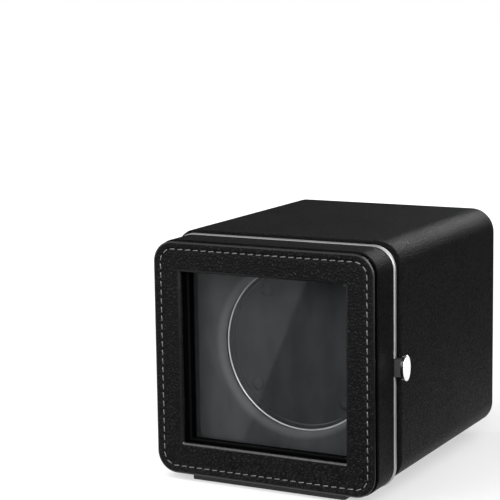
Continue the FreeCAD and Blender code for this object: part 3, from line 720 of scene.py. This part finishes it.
stitch_reach = 1.25 * MM
stitch_radius = 0.3 * MM
stitch_pitch = 4.7 * MM
stitch_slant = math.radians(5.0)
stitch_depth = seam_depth - 0.35 * stitch_radius
seam_corner = panel_corner - seam_inset
seam_box = (panel_half[0] - seam_inset, panel_half[1] - seam_inset)
seam_length = 4 * (seam_box[0] + seam_box[1]) - (8 - 2 * math.pi) * seam_corner
stitch_count = round(seam_length / stitch_pitch)
mesh = bmesh.new()
for index in range(stitch_count):
    x, z, heading = seam_place(seam_length * index / stitch_count, seam_box, seam_corner)
    centre = Vector((x, front_low.y + stitch_depth, panel_middle + z))
    stitch = bmesh.ops.create_uvsphere(mesh, u_segments=8, v_segments=5, radius=stitch_radius)["verts"]
    for end in (-1, 1):
        half = [vert for vert in stitch if vert.co.z * end > 0]
        bmesh.ops.translate(mesh, vec=(0, 0, end * stitch_reach), verts=half)
    turn = Matrix.Rotation(math.pi / 2 - heading - stitch_slant, 4, "Y")
    bmesh.ops.transform(mesh, matrix=Matrix.Translation(centre) @ turn, verts=stitch)
piece("door_stitches", mesh, "door", spun_thread("grey_thread", (0.19, 0.19, 0.195)))


# Window: a clear pane let into the tray from behind, pressed against a moulded bead at its front and held
# by a retainer frame at its back.
def partly_clear(material, share, tint=(1.0, 1.0, 1.0)):
    """Let a material show by a share, worked out from a shade of its tree, and be clear for the rest."""
    tree = material.node_tree
    start = Shade(tree)
    clear = start.node("BsdfTransparent", {}, {"Color": (*tint, 1.0)})
    shown = Shade(tree, tree.nodes["Principled BSDF"].outputs[0])
    both = start.node("MixShader", {}, {0: share(start), 1: clear, 2: shown})
    tree.links.new(both.socket, tree.nodes["Material Output"].inputs["Surface"])
    return material


def clear_glass(name, index, mirror, tint):
    """Coated pane that shows what is behind it and mirrors the room dimly, more at a slant."""
    coat_size = 20 * MM

    def pattern(place):
        return {"Base Color": place.clouds(coat_size).blend(shaded(mirror, 0.95), mirror)}

    def gloss(start):
        return start.node("Fresnel", {}, {"IOR": index})

    return partly_clear(finish(name, {"Metallic": 1.0, "Roughness": 0.032}, pattern), gloss, tint)


bead_width = 1.1 * MM
bead_height = 1.2 * MM
bead_seat = 0.05 * MM
bead_foot = 0.02 * MM
bead_round = 0.7 * MM
bead_bend = quarter_round(bead_round, 4)[::-1]
bead_profile = [(0.0, 0.0), (0.0, 0.95 * bead_height)]
bead_profile += [(bead_width - inset, bead_height - depth) for inset, depth in bead_bend]
bead_profile += [(bead_width, bead_foot)]
mesh = bmesh.new()
bead_loops = [
    rounded_loop(mesh, window_half, -inset, window_corner, window_middle, pane_low.y - bead_seat - height)
    for inset, height in bead_profile
]
lofted(mesh, bead_loops)
bead_plastic = plastic("bead_plastic", (0.003, 0.003, 0.003), 0.45, 0.03)
window_bead = piece("window_bead", mesh, "door", bead_plastic)
window_glass = clear_glass("window_glass", 1.45, (0.97, 0.98, 1.0), (0.97, 0.98, 0.98))
dress(window_glass, "window_pane")
retainer_black = plastic("retainer_black", (0.003, 0.003, 0.003), 0.6, 0.02)
dress(retainer_black, "pane_retainer")


# Rim: a satin aluminium ring at the back of the door, brushed along its length and slotted on the right
# for the button's stem.
satin_aluminium = metal("satin_aluminium", (0.45, 0.45, 0.455), 0.4, (0.08, 1.0, 0.08), 0.15 * MM)
dress(satin_aluminium, "door_rim")


# Hinge: a long nickel-plated butt hinge let in between the door's rim and the case, on a steel pin. Its
# leaves are held by three small screws each.
hinge_nickel = metal("hinge_nickel", (0.62, 0.6, 0.57), 0.24, (1.0, 1.0, 0.2))
dress(hinge_nickel, "hinge_case_leaf", "hinge_door_leaf", "hinge_pin")
small_screw = Screw(1.2 * MM, 0.45 * MM, 0.7 * MM, 6.0 * MM)
for node, out, body in (("hinge_case_screws", -1, "case"), ("hinge_door_screws", 1, "door")):
    screw_low, screw_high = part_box(node)
    screw_x = (screw_low.x + screw_high.x) / 2
    seat = screw_low.y + small_screw.height if out < 0 else screw_high.y - small_screw.height
    hinge_seats = [(screw_x, seat, z) for z in spread(screw_low.z, screw_high.z, small_screw.head, 3)]
    screws(node, hinge_seats, (0, out, 0), small_screw, body)


# Latch: a chromed oval button on a dull steel stem that runs through the rim. A coil spring in a folded
# bracket pushes it out, and its hook drops behind a keeper plate in the neck.
def mirror_plate(name, tone):
    """Bright plating polished to a mirror, with faint wipe marks in its colour."""
    wipe_size = 2 * MM
    ripple_size = 1.5 * MM
    ripple_relief = 0.01 * MM

    def pattern(place):
        wipes = place.stretched((1.0, 1.0, 0.3)).clouds(wipe_size, 3.0)
        ripple = place.clouds(ripple_size, 1.0)
        return {
            "Base Color": wipes.blend(shaded(tone, 0.92), tone),
            "Normal": ripple.relief(ripple_relief, 0.2),
        }

    return finish(name, {"Metallic": 1.0, "Roughness": 0.0}, pattern)


stem_steel = metal("stem_steel", (0.16, 0.16, 0.165), 0.34)
bracket_zinc = metal("bracket_zinc", (0.5, 0.5, 0.5), 0.35)
button_chrome = mirror_plate("button_chrome", (0.92, 0.92, 0.93))
dress(stem_steel, "latch_stem")
dress(bracket_zinc, "latch_bracket", "latch_keeper")
dress(button_chrome, "latch_button")
screw_low, screw_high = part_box("latch_bracket_screws")
screw_x = (screw_low.x + screw_high.x) / 2
bracket_seats = [
    (screw_x, screw_high.y - small_screw.height, z)
    for z in spread(screw_low.z, screw_high.z, small_screw.head, 2)
]
screws("latch_bracket_screws", bracket_seats, (0, 1, 0), small_screw, "door")

wire_radius = 0.25 * MM
wire_sides = 8
spring_turns = 5
turn_steps = 24
spring_steps = spring_turns * turn_steps
spring_gap = 0.02 * MM
spring_low, spring_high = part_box("latch_spring")
spring_middle = (spring_low + spring_high) / 2
spring_length = spring_high.x - spring_low.x
coil_radius = (spring_high.z - spring_low.z) / 2 - wire_radius
coil_inset = wire_radius + spring_gap
step_advance = (spring_length - 2 * coil_inset) / spring_steps
mesh = bmesh.new()
wire = bmesh.ops.create_circle(mesh, segments=wire_sides, radius=wire_radius)["verts"]
wire_start = (spring_low.x + coil_inset, spring_middle.y, spring_middle.z + coil_radius)
bmesh.ops.rotate(mesh, matrix=Matrix.Rotation(math.pi / 2, 3, "X"), verts=wire)
bmesh.ops.translate(mesh, vec=wire_start, verts=wire)
bmesh.ops.spin(
    mesh, geom=mesh.verts[:] + mesh.edges[:], cent=spring_middle, axis=(1, 0, 0), dvec=(step_advance, 0, 0),
    angle=2 * math.pi * spring_turns, steps=spring_steps
)
bmesh.ops.holes_fill(mesh, edges=[edge for edge in mesh.edges if edge.is_boundary], sides=wire_sides)
coil = piece("latch_coil", mesh, "door", turned_steel)
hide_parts("latch_spring")
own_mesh(coil)


# Stage: a plain white floor that runs out into a white surround, soft lamps all round, and dark cards out
# of the camera's sight that shape the gloss on the leather and the pane.
def seen_rays(start):
    """1 for what the camera sees straight, in metal or through glass, and 0 for light on the object."""
    kinds = ("Is Camera Ray", "Is Glossy Ray", "Is Transmission Ray")
    straight, mirrored, through = (start.node("LightPath", {}, {}, kind) for kind in kinds)
    return start.math("MAXIMUM", start.math("MAXIMUM", straight, mirrored), through)


def floor_white(name, tone, near_glow, near, far):
    """Matt white that keeps its shadows near the object and glows white to the eye further out."""

    def pattern(place):
        away = place.length().eased(near, far)
        glow = seen_rays(place) * (near_glow + (1.0 - near_glow) * away)
        return {"Emission Color": glow.blend((0.0, 0.0, 0.0), (1.0, 1.0, 1.0))}

    plain = {"Base Color": (tone, tone, tone, 1.0), "Roughness": 1.0, "Specular IOR Level": 0.0}
    return finish(name, {**plain, "Emission Strength": 1.0}, pattern)


def card_paint(name, tone):
    """Flat paint that shows in soft gloss and is clear to a true mirror."""

    def soft_rays(start):
        return 1.0 - start.node("LightPath", {}, {}, "Is Singular Ray")

    return partly_clear(painted_board(name, tone, 0.0), soft_rays)


def stage_piece(name, mesh, material):
    """Object set up in the scene for the stage, not attached to any body of the box."""
    made = placed(name, mesh, material)
    return made


def oblong(across, along):
    """Corners of a rectangle, in order round it, from its two ranges."""
    return [(across[0], along[0]), (across[1], along[0]), (across[1], along[1]), (across[0], along[1])]


def dark_card(name, corners, material):
    """Card that only shows in gloss, and takes no light from the object."""
    mesh = bmesh.new()
    bmesh.ops.contextual_create(mesh, geom=[mesh.verts.new(corner) for corner in corners])
    card = stage_piece(name, mesh, material)
    card.visible_camera = False
    card.visible_diffuse = False
    card.visible_transmission = False
    card.visible_shadow = False


def soft_lamp(name, place, aim, size, power):
    """Soft box at a place, facing the point it is aimed at."""
    data = bpy.data.lights.new(name, "AREA")
    data.shape = "RECTANGLE"
    data.size, data.size_y = size
    data.energy = power
    lamp = bpy.data.objects.new(name, data)
    lamp.location = place
    lamp.rotation_euler = (Vector(aim) - Vector(place)).to_track_quat("-Z", "Y").to_euler()
    bpy.context.scene.collection.objects.link(lamp)
    return lamp


floor_radius = 8.0
mesh = bmesh.new()
bmesh.ops.create_circle(mesh, cap_ends=True, segments=64, radius=floor_radius)
stage_piece("floor", mesh, floor_white("floor_white", tone=0.42, near_glow=0.5, near=0.3, far=1.3))

card_grey = card_paint("card_grey", (0.22, 0.22, 0.22))
card_black = card_paint("card_black", (0.02, 0.02, 0.02))
lift = 1.0 * MM
front_near, front_far = -0.09, -0.9
edge_near, edge_far = (-0.033, front_near, lift), (-0.365, front_far, lift)
side_x, side_y = (0.1, 1.6), (-0.06, 2.2)
back_half, back_y, back_top = 2.4, 1.7, 1.3
for name, far_x, paint in (("front_card", 0.5, card_black), ("left_card", -1.4, card_grey)):
    dark_card(name, [edge_near, edge_far, (far_x, front_far, lift), (far_x, front_near, lift)], paint)
side_corners = oblong(side_x, side_y)
dark_card("side_card", [(x, y, lift) for x, y in side_corners], card_black)
back_corners = oblong((-back_half, back_half), (0.0, back_top))
dark_card("back_card", [(x, back_y, z) for x, z in back_corners], card_black)

lamp_aim = (0.0, 0.0, 0.07)
for name, place, size, power, in_gloss in (
    ("top_lamp", (-0.45, -0.35, 1.1), (0.9, 0.9), 13.0, False),
    ("back_lamp", (0.25, 1.3, 0.75), (0.8, 0.4), 10.0, True),
    ("front_lamp", (0.35, -1.4, 0.6), (0.7, 0.7), 18.0, True),
    ("side_lamp", (1.3, -0.25, 0.6), (0.6, 0.6), 10.0, True),
    ("left_lamp", (-1.3, 0.15, 0.6), (0.6, 0.6), 8.0, False),
):
    soft_lamp(name, place, lamp_aim, size, power).visible_glossy = in_gloss

lit_level = (0.12, 0.12, 0.12)
overhead_dimming = 0.65
world = bpy.data.worlds.new("surround")
world.use_nodes = True
bpy.context.scene.world = world
air = Shade(world.node_tree)
overhead = air.node("TexCoord", {}, {}, "Generated").axis("Z").eased(0.35, 0.8)
sky = (seen_rays(air) * (1.0 - overhead_dimming * overhead)).blend(lit_level, (1.0, 1.0, 1.0))
world.node_tree.links.new(sky.socket, world.node_tree.nodes["Background"].inputs["Color"])

camera_place = Vector((411.05, -857.64, 269.26)) * MM
azimuth, elevation, roll = (math.radians(angle) for angle in (28.27, 9.07, -0.84))
camera = bpy.data.cameras.new("camera")
camera.sensor_width = 36.0
camera.lens = 123.91
eye = bpy.data.objects.new("camera", camera)
facing = Matrix.Rotation(azimuth, 4, "Z") @ Matrix.Rotation(math.pi / 2 - elevation, 4, "X")
eye.matrix_world = Matrix.Translation(camera_place) @ facing @ Matrix.Rotation(roll, 4, "Z")
bpy.context.scene.collection.objects.link(eye)
bpy.context.scene.camera = eye
bpy.context.scene.view_settings.view_transform = "Standard"
